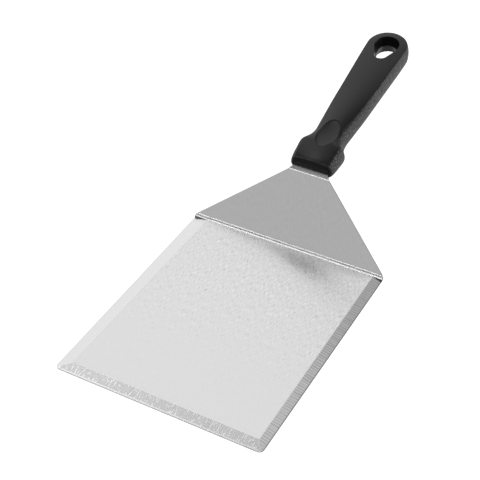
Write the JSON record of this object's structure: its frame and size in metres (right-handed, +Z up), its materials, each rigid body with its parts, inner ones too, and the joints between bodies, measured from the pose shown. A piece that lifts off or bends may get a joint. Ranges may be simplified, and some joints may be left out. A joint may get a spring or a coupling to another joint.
{
  "type": "grill spatula",
  "caption": "Wide bevelled sheet-steel turner with a cranked neck and a black moulded handle that has a thumb scoop and a hang hole; turns and lifts food on a grill or griddle.",
  "frame": {"origin": "centre of the blade's flat underside, between the ground front edge and the fold", "axes": "+Y from the ground front edge towards the handle, +X to the user's right, +Z up from the underside"},
  "size_m": [0.127, 0.3063, 0.0711],
  "materials": {
    "blade_steel": "fine grain along the blade, cross-ground bevels",
    "handle_plastic": "smooth top, fine spark texture on the sides"
  },
  "bodies": {
    "root": {"blade": "blade_steel", "handle": "handle_plastic"}
  },
  "joints": []
}
